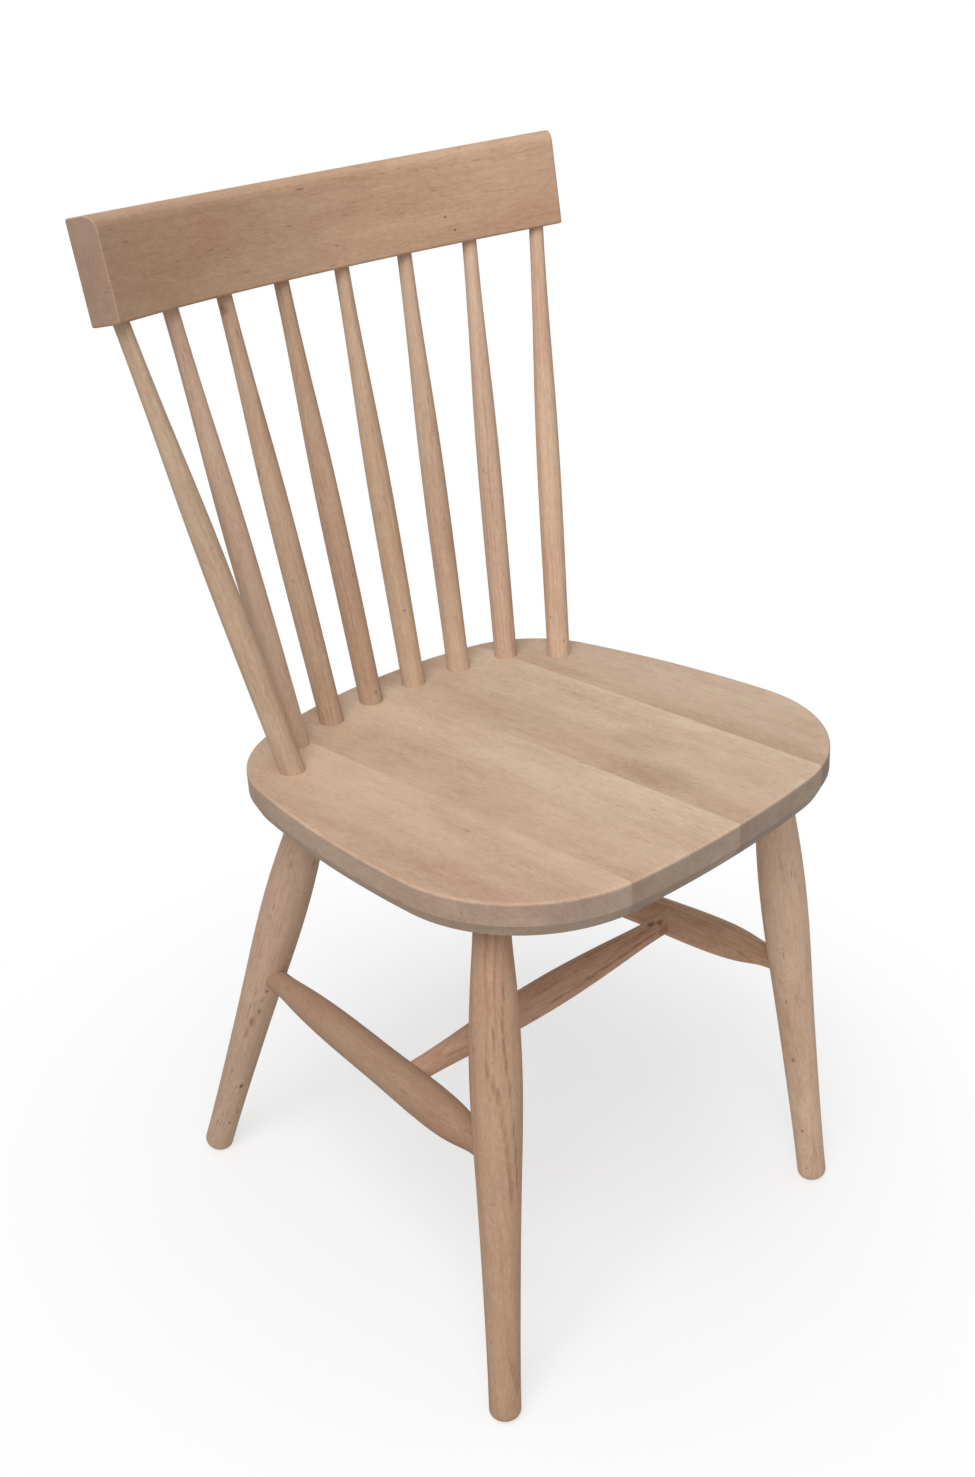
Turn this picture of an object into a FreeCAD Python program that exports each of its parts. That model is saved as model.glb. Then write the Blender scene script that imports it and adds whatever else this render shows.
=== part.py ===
import FreeCAD, Part
import math
import os

# A windsor chair in bare beech. Millimetres, +Z up, the sitter faces -Y and has +X on the left.
# The origin is on the floor, under the middle of the box that the chair fills.
# It is made of four edge-glued seat boards, four turned legs, two side stretchers and a cross
# stretcher, eight turned back spindles and a bent crest rail. Every joint is a round glued tenon
# in a blind hole.

Vector = FreeCAD.Vector

# Seat: a flat blank that falls towards the back
seat_height = 444.0            # floor to the middle of the top face
seat_pitch = 4.0               # fall towards the back, degrees
seat_width = 406.0             # at the widest, a little in front of the middle
seat_depth = 396.0
seat_edge = 18.0               # upright part of the edge
seat_undercut_height = 10.0    # slope under the edge, its height
seat_undercut_width = 5.0      # slope under the edge, its reach inwards
seat_arris_round = 2.5
seat_widest_ahead = 81.0       # from the middle forward to the widest place
seat_front_radius = 957.0      # bow of the front edge
seat_side_radius = 881.0       # bow of the sides
seat_rear_radius = 443.0       # bow of the rear edge
seat_front_corner = 120.0      # radius of the front corners
seat_rear_corner = 98.0        # radius of the rear corners
seat_turn = 1.3                # the blank stands this far round on its legs, degrees

# Seat boards, glued edge to edge
board_width = 110.7            # the two inner boards
board_shift = 7.3              # the middle joint stands this far left of the middle

# Glued joints
glue_gap = 0.1                 # round each tenon
hole_spare = 0.8               # left at the bottom of each blind hole
tenon_chamfer = 1.5

# Legs: where each axis meets the seat's underside and the floor, from the seat's middle
front_leg_seat_x = 153.0
front_leg_seat_y = 112.0       # ahead of the middle
front_leg_floor_x = 193.0
front_leg_floor_y = 171.7
rear_leg_seat_x = 108.0
rear_leg_seat_y = 131.0        # behind the middle
rear_leg_floor_x = 168.6
rear_leg_floor_y = 231.5
leg_foot_diameter = 25.0
leg_shin_diameter = 28.4
leg_middle_diameter = 32.8
leg_swell_diameter = 38.3
leg_shoulder_diameter = 31.2
leg_neck_diameter = 26.0       # at the seat, and the tenon in it
leg_shin_share = 0.27             # shares of the length, from the floor
leg_middle_share = 0.45
leg_swell_share = 0.72
leg_shoulder_share = 0.89
leg_tenon_length = 12.0
leg_foot_round = 6.5           # rounding of the foot's rim
leg_foot_flat = 1.0            # taken off the rounding, to stand flat

# Side stretchers: turned fuller towards the front leg
side_front_height = 225.4      # floor to the axis, at the front leg's axis
side_rear_height = 206.6
side_tenon_diameter = 19.0
side_tenon_past_axis = 3.0     # the tenon ends this far beyond the leg's axis
side_rear_tenon_shows = 7.0    # straight tenon seen outside the rear leg
side_front_tenon_shows = 2.0
side_rear_taper_diameter = 22.6
side_rear_body_diameter = 28.9
side_middle_diameter = 30.4
side_swell_diameter = 31.3
side_front_taper_diameter = 26.6
side_rear_taper_share = 0.16      # shares of the length between the leg axes, from the rear
side_rear_body_share = 0.35
side_middle_share = 0.58
side_swell_share = 0.78
side_front_taper_share = 0.86

# Cross stretcher, between the side stretchers
cross_share = 0.378            # share of the side stretcher's length, from the front leg
cross_tenon_diameter = 18.0
cross_tenon_past_axis = 2.0
cross_tenon_shows = 2.0        # straight tenon seen outside the side stretcher
cross_middle_diameter = 28.9
cross_body_diameter = 26.4
cross_taper_diameter = 21.6
cross_body_share = 0.33           # shares of the half length, from the middle
cross_taper_share = 0.61

# Back spindles
spindle_count = 8
spindle_inset = 33.0           # from the seat's edge to the spindles' line
spindle_foot_spacing = 47.0    # along that line
spindle_head_spacing = 60.0    # along the middle of the crest rail
spindle_foot_diameter = 19.4
spindle_belly_diameter = 20.0
spindle_waist_diameter = 18.1
spindle_taper_diameter = 14.4
spindle_head_diameter = 11.9
spindle_belly_share = 0.30        # shares of the length between seat and rail
spindle_waist_share = 0.60
spindle_taper_share = 0.78
spindle_foot_depth = 9.5
spindle_head_depth = 22.0

# Crest rail: a bent bar that leans with the back
rail_underside_height = 766.3  # floor to the middle of the underside
rail_behind = 247.6            # from the seat's middle back to the middle of the underside
rail_lean = 14.0               # degrees
rail_radius = 472.0            # bend, on the middle of its thickness
rail_thickness = 22.8
rail_height = 73.6
rail_length = 459.0            # along the bend, at the underside
rail_flare = 2.0               # the ends spread upwards, degrees
rail_front_round = 10.0        # top edge of the front face
rail_arris_round = 2.0         # the other long edges
rail_end_round = 1.6           # the ends' edges


def unit(v):
    return v * (1.0 / v.Length)


def seat_point(x, y, drop=0.0):
    """A point of the pitched seat: x and y on its top face, drop square to it."""
    a = math.radians(seat_pitch)
    return Vector(x, y * math.cos(a) - drop * math.sin(a),
                  seat_height - y * math.sin(a) - drop * math.cos(a))


def placed(shape, start, direction):
    """The shape, made up along +Z from the origin, laid along a direction from start."""
    turn = FreeCAD.Rotation(Vector(0, 0, 1), direction)
    shape.Placement = FreeCAD.Placement(start, turn)
    return shape


def rod(start, direction, diameter, length):
    """A plain cylinder."""
    return Part.makeCylinder(diameter / 2, length, start, unit(direction))


def tapering_curve(stations):
    """A smooth turned outline through (distance, diameter) stations."""
    points = [Vector(diameter / 2, 0, z) for z, diameter in stations]
    curve = Part.BSplineCurve()
    along = Vector(0, 0, 1)
    curve.interpolate(Points=points, InitialTangent=along, FinalTangent=along)
    return curve.toShape()


def spun(edges):
    """A solid of revolution about Z from an outline that starts and ends on the axis."""
    first = edges[0].Vertexes[0].Point
    last = edges[-1].Vertexes[-1].Point
    outline = Part.Wire(edges + [Part.makeLine(last, first)])
    return Part.Face(outline).revolve(Vector(0, 0, 0), Vector(0, 0, 1), 360)


def tenon_end(diameter, z_end, z_shoulder):
    """The edges of a chamfered tenon, from its end on the axis to its shoulder."""
    r = diameter / 2
    step = math.copysign(tenon_chamfer, z_shoulder - z_end)
    corners = [Vector(0, 0, z_end), Vector(r - tenon_chamfer, 0, z_end),
               Vector(r, 0, z_end + step), Vector(r, 0, z_shoulder)]
    return [Part.makeLine(p, q) for p, q in zip(corners, corners[1:])]


def backwards(edges):
    """The same straight edges from the last to the first."""
    return [Part.makeLine(e.Vertexes[1].Point, e.Vertexes[0].Point) for e in reversed(edges)]


def turned(stations, z_start, z_end):
    """A turned piece that runs smoothly through the stations, with a tenon at each end."""
    first = tenon_end(stations[0][1], z_start, stations[0][0])
    last = backwards(tenon_end(stations[-1][1], z_end, stations[-1][0]))
    return spun(first + [tapering_curve(stations)] + last)


def radius_at(stations, distance):
    """The radius of a turned piece, read in a straight line between its stations."""
    for (a, da), (b, db) in zip(stations, stations[1:]):
        if a <= distance <= b:
            return (da + (db - da) * (distance - a) / (b - a)) / 2
    return stations[-1][1] / 2


def hole(start, direction, diameter, depth, outside):
    """A cutter for a blind hole: depth beyond start, and clear of the face outside it."""
    along = unit(direction)
    return rod(start - along * outside, along, diameter + 2 * glue_gap,
               outside + depth + hole_spare)


def arc_between(centre, p, q):
    """The short arc from p to q about a centre."""
    middle = centre + unit((p - centre) + (q - centre)) * (p - centre).Length
    return Part.Arc(p, middle, q).toShape()


def across(p):
    """The matching point on the other side of the middle."""
    return Vector(-p.x, p.y, p.z)


def corner_centre(big_radius, big_centre, corner_radius):
    """Centre of the arc that runs smoothly into the side arc and the front or rear arc."""
    a = big_radius - corner_radius
    b = seat_side_radius - corner_radius
    span = seat_side_centre - big_centre
    along = (a * a - b * b + span.Length ** 2) / (2 * span.Length)
    off = math.sqrt(a * a - along * along)
    u = unit(span)
    n = Vector(u.y, -u.x, 0)
    both = [big_centre + u * along + n * off, big_centre + u * along - n * off]
    return max(both, key=lambda p: p.x)


# Centres of the outline's arcs, on the flat blank, +X side
seat_front_centre = Vector(0, seat_front_radius - seat_depth / 2, 0)
seat_side_centre = Vector(seat_width / 2 - seat_side_radius, -seat_widest_ahead, 0)
seat_rear_centre = Vector(0, seat_depth / 2 - seat_rear_radius, 0)
front_corner_centre = corner_centre(seat_front_radius, seat_front_centre, seat_front_corner)
rear_corner_centre = corner_centre(seat_rear_radius, seat_rear_centre, seat_rear_corner)


def seat_outline(inset, z):
    """The closed outline of the blank at a height z, moved inwards."""
    front_r = seat_front_corner - inset
    rear_r = seat_rear_corner - inset
    p = front_corner_centre + unit(front_corner_centre - seat_front_centre) * front_r
    q = front_corner_centre + unit(front_corner_centre - seat_side_centre) * front_r
    r = rear_corner_centre + unit(rear_corner_centre - seat_side_centre) * rear_r
    s = rear_corner_centre + unit(rear_corner_centre - seat_rear_centre) * rear_r
    apex = Vector(0, inset - seat_depth / 2, 0)
    tail = Vector(0, seat_depth / 2 - inset, 0)
    right = [arc_between(front_corner_centre, p, q), arc_between(seat_side_centre, q, r),
             arc_between(rear_corner_centre, r, s)]
    left = [arc_between(across(rear_corner_centre), across(s), across(r)),
            arc_between(across(seat_side_centre), across(r), across(q)),
            arc_between(across(front_corner_centre), across(q), across(p))]
    front = Part.Arc(across(p), apex, p).toShape()
    rear = Part.Arc(s, tail, across(s)).toShape()
    wire = Part.Wire([front] + right + [rear] + left)
    wire.translate(Vector(0, 0, z))
    return wire


def seat_blank():
    """The whole glued blank, flat, with its top face at z = 0."""
    upper = Part.Face(seat_outline(0, -seat_edge)).extrude(Vector(0, 0, seat_edge))
    rim = [e for e in upper.Edges if e.BoundBox.ZMin > -seat_arris_round / 2]
    upper = upper.makeFillet(seat_arris_round, rim)
    bottom = -seat_edge - seat_undercut_height
    lower = Part.makeLoft([seat_outline(0, -seat_edge),
                           seat_outline(seat_undercut_width, bottom)], True, True)
    return upper.fuse(lower).removeSplitter()


def board_block(a, b):
    """A block that takes the blank's wood between two joints, a and b to the side."""
    reach = seat_width + seat_depth
    block = Part.makeBox(b - a, 2 * reach, 2 * reach, Vector(a, -reach, -reach))
    return block


def to_seat(shape):
    """Carries a shape from the flat blank to the turned and pitched seat."""
    shape.rotate(Vector(0, 0, 0), Vector(0, 0, 1), seat_turn)
    shape.rotate(Vector(0, 0, 0), Vector(1, 0, 0), -seat_pitch)
    shape.translate(Vector(0, 0, seat_height))
    return shape


seat_thickness = seat_edge + seat_undercut_height


def leg_line(front, side):
    """Where a leg's axis meets the floor and the seat's underside; side is 1 for +X, or -1."""
    if front:
        floor = Vector(side * front_leg_floor_x, -front_leg_floor_y, 0)
        top = seat_point(side * front_leg_seat_x, -front_leg_seat_y, seat_thickness)
    else:
        floor = Vector(side * rear_leg_floor_x, rear_leg_floor_y, 0)
        top = seat_point(side * rear_leg_seat_x, rear_leg_seat_y, seat_thickness)
    return floor, top


def leg_stations(start, length):
    """The leg's turned shape: its start near the floor, its length to the seat."""
    return [(start, leg_foot_diameter),
            (leg_shin_share * length, leg_shin_diameter),
            (leg_middle_share * length, leg_middle_diameter),
            (leg_swell_share * length, leg_swell_diameter),
            (leg_shoulder_share * length, leg_shoulder_diameter),
            (length, leg_neck_diameter)]


def leg(floor, top):
    """A turned leg, its rim rounded and its foot levelled on the floor."""
    axis = top - floor
    length = axis.Length
    lean = axis.getAngle(Vector(0, 0, 1))
    r = leg_foot_diameter / 2
    inner = r - leg_foot_round
    lift = leg_foot_round * (1 - math.cos(lean)) + inner * math.sin(lean) - leg_foot_flat
    end = lift / math.cos(lean)
    bend = leg_foot_round * math.sqrt(0.5)
    rim_top = end + leg_foot_round
    rim = Part.Arc(Vector(inner, 0, end), Vector(inner + bend, 0, rim_top - bend),
                   Vector(r, 0, rim_top)).toShape()
    foot = [Part.makeLine(Vector(0, 0, end), Vector(inner, 0, end)), rim]
    body = tapering_curve(leg_stations(rim_top, length))
    tenon = backwards(tenon_end(leg_neck_diameter, length + leg_tenon_length, length))
    whole = placed(spun(foot + [body] + tenon), floor, unit(axis))
    wide = 4 * leg_foot_diameter
    ground = Part.makeBox(wide, wide, wide, floor - Vector(wide / 2, wide / 2, wide))
    return whole.cut(ground)


def at_height(line, z):
    """The point of a leg's axis at a height."""
    floor, top = line
    return floor + (top - floor) * (z / top.z)


def leg_radius(line, z):
    """A leg's radius at a height of its axis."""
    floor, top = line
    length = (top - floor).Length
    return radius_at(leg_stations(0, length), length * z / top.z)


def side_ends(side):
    """The side stretcher's axis from the rear leg's axis to the front leg's."""
    rear = at_height(leg_line(False, side), side_rear_height)
    front = at_height(leg_line(True, side), side_front_height)
    return rear, front


def side_stations(side):
    """The side stretcher's turned shape, from the rear leg's axis."""
    rear, front = side_ends(side)
    length = (front - rear).Length
    rear_r = leg_radius(leg_line(False, side), side_rear_height)
    front_r = leg_radius(leg_line(True, side), side_front_height)
    return [(rear_r + side_rear_tenon_shows, side_tenon_diameter),
            (side_rear_taper_share * length, side_rear_taper_diameter),
            (side_rear_body_share * length, side_rear_body_diameter),
            (side_middle_share * length, side_middle_diameter),
            (side_swell_share * length, side_swell_diameter),
            (side_front_taper_share * length, side_front_taper_diameter),
            (length - front_r - side_front_tenon_shows, side_tenon_diameter)]


def side_stretcher(side):
    """A side stretcher with its tenons."""
    rear, front = side_ends(side)
    length = (front - rear).Length
    shape = turned(side_stations(side), -side_tenon_past_axis, length + side_tenon_past_axis)
    return placed(shape, rear, unit(front - rear))


def cross_end(side):
    """Where the cross stretcher's axis meets a side stretcher's axis."""
    rear, front = side_ends(side)
    return front + (rear - front) * cross_share


def cross_stretcher():
    """The cross stretcher with its tenons, from -X to +X."""
    start = cross_end(-1)
    finish = cross_end(1)
    length = (finish - start).Length
    half = length / 2
    rear, front = side_ends(1)
    side_r = radius_at(side_stations(1), (front - rear).Length * (1 - cross_share))
    near = [(side_r + cross_tenon_shows, cross_tenon_diameter),
            (half * (1 - cross_taper_share), cross_taper_diameter),
            (half * (1 - cross_body_share), cross_body_diameter)]
    far = [(length - z, diameter) for z, diameter in reversed(near)]
    stations = near + [(half, cross_middle_diameter)] + far
    shape = turned(stations, -cross_tenon_past_axis, length + cross_tenon_past_axis)
    return placed(shape, start, unit(finish - start))


def spindle_foot(walk):
    """The point on the seat's top, walked along the spindles' line from the middle."""
    rear_r = seat_rear_radius - spindle_inset
    corner_r = seat_rear_corner - spindle_inset
    run = rear_corner_centre - seat_rear_centre
    turn = math.atan2(run.x, run.y)
    distance = abs(walk)
    if distance <= rear_r * turn:
        a = distance / rear_r
        spot = seat_rear_centre + Vector(math.sin(a), math.cos(a), 0) * rear_r
    else:
        a = turn + (distance - rear_r * turn) / corner_r
        spot = rear_corner_centre + Vector(math.sin(a), math.cos(a), 0) * corner_r
    return seat_point(math.copysign(spot.x, walk), spot.y)


def to_rail(shape):
    """Carries a shape from upright, its underside's middle at the origin, to the rail's place."""
    shape.rotate(Vector(0, 0, 0), Vector(1, 0, 0), -rail_lean)
    shape.translate(Vector(0, rail_behind, rail_underside_height))
    return shape


def spindle_head(walk):
    """The point on the rail's underside, walked along its bend from the middle."""
    a = walk / rail_radius
    spot = Vector(math.sin(a), math.cos(a) - 1, 0) * rail_radius
    return to_rail(Part.Vertex(spot)).Point


def spindle(foot, head):
    """A turned spindle that runs straight into both holes."""
    length = (head - foot).Length
    stations = [(0, spindle_foot_diameter),
                (spindle_belly_share * length, spindle_belly_diameter),
                (spindle_waist_share * length, spindle_waist_diameter),
                (spindle_taper_share * length, spindle_taper_diameter),
                (length, spindle_head_diameter)]
    shape = turned(stations, -spindle_foot_depth, length + spindle_head_depth)
    return placed(shape, foot, unit(head - foot))


def rail_end_waste(side):
    """What the saw takes off one end of the rail; side is 1 for +X, or -1."""
    size = 2 * rail_height
    waste = Part.makeBox(size, size, 2 * size, Vector(0, -size / 2, -size / 2))
    waste.rotate(Vector(0, 0, 0), Vector(0, 1, 0), rail_flare)
    if side < 0:
        waste.rotate(Vector(0, 0, 0), Vector(0, 0, 1), 180)
    waste.rotate(Vector(0, -rail_radius, 0), Vector(0, 0, 1),
                 -side * math.degrees(rail_length / 2 / rail_radius))
    return waste


def crest_rail():
    """The bent rail before its holes are bored."""
    front = -rail_thickness / 2
    back = rail_thickness / 2
    top = rail_height
    r = rail_arris_round
    f = rail_front_round
    k = 1 - math.sqrt(0.5)
    corners = [(front, r, Vector(front + k * r, 0, k * r), front + r, 0),
               (back - r, 0, Vector(back - k * r, 0, k * r), back, r),
               (back, top - r, Vector(back - k * r, 0, top - k * r), back - r, top),
               (front + f, top, Vector(front + k * f, 0, top - k * f), front, top - f)]
    edges = []
    for i, (x0, z0, middle, x1, z1) in enumerate(corners):
        start = Vector(x0, 0, z0)
        finish = Vector(x1, 0, z1)
        edges.append(Part.Arc(start, middle, finish).toShape())
        following = corners[(i + 1) % len(corners)]
        edges.append(Part.makeLine(finish, Vector(following[0], 0, following[1])))
    section = Part.Face(Part.Wire(edges))
    flare = math.radians(rail_flare)
    half_turn = math.degrees((rail_length / 2 + rail_height * math.tan(flare)) / rail_radius) + 1
    section.rotate(Vector(-rail_radius, 0, 0), Vector(0, 0, 1), 90 - half_turn)
    section.translate(Vector(rail_radius, -rail_radius, 0))
    axis = Vector(0, -rail_radius, 0)
    rail = section.revolve(axis, Vector(0, 0, 1), 2 * half_turn)
    for side in (1, -1):
        rail = rail.cut(rail_end_waste(side))
    ends = [f for f in rail.Faces if f.Surface.TypeId == "Part::GeomPlane"
            and abs(f.normalAt(0, 0).z) < 0.5]
    rims = [e for face in ends for e in face.Edges]
    return to_rail(rail.makeFillet(rail_end_round, rims))


# The seat: glued blank, then holes, then parted along the glue joints
leg_lines = {"leg_front_left": leg_line(True, 1), "leg_front_right": leg_line(True, -1),
             "leg_rear_left": leg_line(False, 1), "leg_rear_right": leg_line(False, -1)}
walks = [i - (spindle_count - 1) / 2 for i in range(spindle_count)]
spindle_lines = [(spindle_foot(w * spindle_foot_spacing), spindle_head(w * spindle_head_spacing))
                 for w in walks]

seat = to_seat(seat_blank())
for floor, top in leg_lines.values():
    seat = seat.cut(hole(top, top - floor, leg_neck_diameter, leg_tenon_length,
                         leg_neck_diameter / 2))
for foot, head in spindle_lines:
    seat = seat.cut(hole(foot, foot - head, spindle_foot_diameter, spindle_foot_depth,
                         spindle_foot_diameter / 2))

pieces = {}
joints = [board_shift - board_width, board_shift, board_shift + board_width]
edges = [-seat_width] + joints + [seat_width]
board_names = ["seat_board_right_outer", "seat_board_right_inner",
               "seat_board_left_inner", "seat_board_left_outer"]
for name, a, b in zip(board_names, edges, edges[1:]):
    pieces[name] = seat.common(to_seat(board_block(a, b)))

# The legs, each bored for a side stretcher
for name, line in leg_lines.items():
    side = 1 if name.endswith("left") else -1
    rear, front = side_ends(side)
    outwards = front - rear if name.startswith("leg_front") else rear - front
    meeting = front if name.startswith("leg_front") else rear
    bore = hole(meeting, outwards, side_tenon_diameter, side_tenon_past_axis,
                leg_swell_diameter)
    pieces[name] = leg(line[0], line[1]).cut(bore)

# The stretchers, the side ones bored for the cross one
for side, name in ((1, "side_stretcher_left"), (-1, "side_stretcher_right")):
    inside = cross_end(side) - cross_end(-side)
    bore = hole(cross_end(side), inside, cross_tenon_diameter, cross_tenon_past_axis,
                side_swell_diameter)
    pieces[name] = side_stretcher(side).cut(bore)
pieces["cross_stretcher"] = cross_stretcher()

# The spindles and the rail over them
rail = crest_rail()
for i, (foot, head) in enumerate(spindle_lines):
    pieces["spindle_" + str(i + 1)] = spindle(foot, head)
    rail = rail.cut(hole(head, head - foot, spindle_head_diameter, spindle_head_depth,
                         spindle_head_diameter / 2))
pieces["crest_rail"] = rail

# Everything moves so that the origin is under the middle of the chair's box
pitch = math.radians(seat_pitch)
lean = math.radians(rail_lean)
turn = math.radians(seat_turn)
front_bow = seat_front_radius - (seat_front_radius - seat_depth / 2) * math.cos(turn)
front_reach = front_bow * math.cos(pitch) + seat_edge * math.sin(pitch)
square = rail_thickness / 2 * math.cos(lean) + rail_height * math.sin(lean)
eased = rail_arris_round * (math.cos(lean) + math.sin(lean) - 1)
back_reach = rail_behind + square - eased
shift = Vector(0, (front_reach - back_reach) / 2, 0)

os.makedirs("parts", exist_ok=True)
for name, shape in pieces.items():
    if shape.ShapeType != "Solid":
        shape = shape.Solids[0]
    shape.translate(shift)
    shape.exportStep("parts/" + name + ".step")
    print(name, round(shape.Volume / 1000.0, 1), "cm3")
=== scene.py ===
# %% [markdown]
# # A windsor chair in bare beech
#
# The chair comes in ready made from its CAD model: four seat boards, four turned legs, three
# stretchers, eight spindles and a bent crest rail. What is left for Blender is what a joiner sees
# on the bench: the wood itself. Every piece was cut from another place in another plank, so every
# piece gets its own grain, tone and flecks, from one recipe for beech.
#
# The glTF import brings the pieces in exactly where the CAD has them. Each piece's placement is
# baked into its mesh, so it keeps its place and shape. Only the material in their slot changes.

# %% Load the chair
import math

import bpy
import numpy as np
from mathutils import Matrix, Vector

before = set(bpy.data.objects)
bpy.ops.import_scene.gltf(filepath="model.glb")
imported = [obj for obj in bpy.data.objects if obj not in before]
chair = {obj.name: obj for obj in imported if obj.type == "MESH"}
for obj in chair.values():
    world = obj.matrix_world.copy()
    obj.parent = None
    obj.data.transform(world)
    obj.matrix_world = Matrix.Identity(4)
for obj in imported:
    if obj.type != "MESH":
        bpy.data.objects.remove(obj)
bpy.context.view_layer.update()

# %% [markdown]
# ## The camera
#
# The photograph was taken standing up, a little over a metre from the chair, from its front right
# corner and looking down. The chair is symmetric and stands on a flat floor, and that is enough to
# work out where the camera was: the mirrored edges only line up from one place. A long lens from
# further away would give the same outline but straighter legs, so distance and lens have to be
# right together. The sensor is fitted to the picture's width, because the picture is upright.

# %% Set up the camera
photo_width = 975
focal_pixels = 1800.2
camera_place = Vector((-0.8699, -0.8955, 1.1260))
turned_right = 0.76493
looking_down = 0.5040

lens = bpy.data.cameras.new("photographer")
lens.sensor_fit = "HORIZONTAL"
lens.sensor_width = 36
lens.lens = focal_pixels / photo_width * lens.sensor_width
camera = bpy.data.objects.new("photographer", lens)
camera.location = camera_place
camera.rotation_euler = (math.pi / 2 - looking_down, 0, -turned_right)
bpy.context.collection.objects.link(camera)
bpy.context.scene.camera = camera
print("lens", round(lens.lens, 2), "mm")

# %% [markdown]
# ## The floor and the light
#
# Bare wood looks like bare wood only in soft light: a small hard lamp would make it look
# lacquered. So most of the light comes from an even, pale surround, and one broad soft box stands
# over the camera's left shoulder, which is why the right end of the bent rail is the brighter one;
# a gradient of painted light and shade in the rail's colour adds to it.
#
# The floor is plain and nearly white. Seen by the camera, or in a gloss, it fades to pure white
# away from the chair, like a paper sweep. The legs still stand on it with a soft shadow. The room
# is done the same way: it looks white, but it lights the chair far more softly than white paper
# all round would, and more from above than from the horizon.

# %% Small helpers for building node trees
def put(tree, kind, *feeds, **settings):
    """Adds a node, sets its options, and feeds its inputs in order with links or plain values."""
    node = tree.nodes.new(kind)
    for name, value in settings.items():
        setattr(node, name, value)
    enabled = [socket for socket in node.inputs if socket.enabled]
    for socket, feed in zip(enabled, feeds):
        if isinstance(feed, bpy.types.NodeSocket):
            tree.links.new(feed, socket)
        elif feed is not None:
            socket.default_value = feed
    return node


def sums(tree, operation, *feeds, clamp=False):
    """One step of arithmetic on numbers."""
    return put(tree, "ShaderNodeMath", *feeds, operation=operation, use_clamp=clamp).outputs[0]


def fade(tree, value, start, end, low=0.0, high=1.0, smooth=True):
    """Carries a value smoothly from one range to another, and holds it there."""
    kind = "SMOOTHSTEP" if smooth else "LINEAR"
    node = put(tree, "ShaderNodeMapRange", value, start, end, low, high, interpolation_type=kind)
    return node.outputs[0]


def mixed(tree, share, a, b, blend="MIX"):
    """Two colours mixed by a share."""
    node = tree.nodes.new("ShaderNodeMix")
    node.data_type = "RGBA"
    node.blend_type = blend
    for socket, feed in zip((node.inputs[0], node.inputs[6], node.inputs[7]), (share, a, b)):
        if isinstance(feed, bpy.types.NodeSocket):
            tree.links.new(feed, socket)
        else:
            socket.default_value = feed
    return node.outputs[2]


def times(tree, a, b):
    """Two colours multiplied."""
    return mixed(tree, 1.0, a, b, "MULTIPLY")


def colour(r, g, b):
    """A colour as a paint chart gives it, 0 to 255, in Blender's linear light."""
    def one(v):
        v /= 255
        return v / 12.92 if v <= 0.04045 else ((v + 0.055) / 1.055) ** 2.4
    return (one(r), one(g), one(b), 1)


def fresh(name):
    """An empty material with its output node."""
    material = bpy.data.materials.new(name)
    material.use_nodes = True
    material.node_tree.nodes.clear()
    return material, material.node_tree, material.node_tree.nodes.new("ShaderNodeOutputMaterial")


print("helpers ready")

# %% Lay the floor
def pale_floor():
    """Nearly white, and pure white to the camera away from the chair."""
    material, tree, out = fresh("pale_floor")
    seen_lit = put(tree, "ShaderNodeBsdfDiffuse", colour(252, 252, 252))
    dim_lit = put(tree, "ShaderNodeBsdfDiffuse", colour(205, 201, 197))
    paper = put(tree, "ShaderNodeEmission", (1, 1, 1, 1), 1.0)
    place = put(tree, "ShaderNodeNewGeometry").outputs["Position"]
    away = put(tree, "ShaderNodeVectorMath", place, operation="LENGTH").outputs["Value"]
    paper_starts, paper_full, paper_at_chair = 0.15, 0.60, 0.55
    white = fade(tree, away, paper_starts, paper_full, paper_at_chair, 1.0)
    path = put(tree, "ShaderNodeLightPath")
    seen = sums(tree, "MAXIMUM", path.outputs["Is Camera Ray"], path.outputs["Is Glossy Ray"])
    seen = sums(tree, "MAXIMUM", seen, path.outputs["Is Transmission Ray"])
    lit = put(tree, "ShaderNodeMixShader", seen, dim_lit.outputs[0], seen_lit.outputs[0])
    share = sums(tree, "MULTIPLY", white, seen)
    both = put(tree, "ShaderNodeMixShader", share, lit.outputs[0], paper.outputs[0])
    tree.links.new(both.outputs[0], out.inputs[0])
    return material


mesh = bpy.data.meshes.new("floor")
mesh.from_pydata([(-20, -20, 0), (20, -20, 0), (20, 20, 0), (-20, 20, 0)], [], [(0, 1, 2, 3)])
floor = bpy.data.objects.new("floor", mesh)
bpy.context.collection.objects.link(floor)
mesh.materials.append(pale_floor())
print("floor laid")

# %% Hang the light
world = bpy.data.worlds.new("pale_room")
bpy.context.scene.world = world
world.use_nodes = True
room = world.node_tree
room.nodes.clear()
path = put(room, "ShaderNodeLightPath")
seen = sums(room, "MAXIMUM", path.outputs["Is Camera Ray"], path.outputs["Is Glossy Ray"])
seen = sums(room, "MAXIMUM", seen, path.outputs["Is Transmission Ray"])
ray = put(room, "ShaderNodeTexCoord").outputs["Generated"]
steep = put(room, "ShaderNodeSeparateXYZ", ray).outputs[2]
at_horizon, overhead = 0.22, 0.62
level = fade(room, steep, 0.0, 1.0, at_horizon, overhead, smooth=False)
glow = put(room, "ShaderNodeBackground", (0.98, 0.985, 1.0, 1), level)
paper = put(room, "ShaderNodeBackground", (1, 1, 1, 1), 1.0)
both = put(room, "ShaderNodeMixShader", seen, glow.outputs[0], paper.outputs[0])
out = put(room, "ShaderNodeOutputWorld")
room.links.new(both.outputs[0], out.inputs[0])


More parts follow.
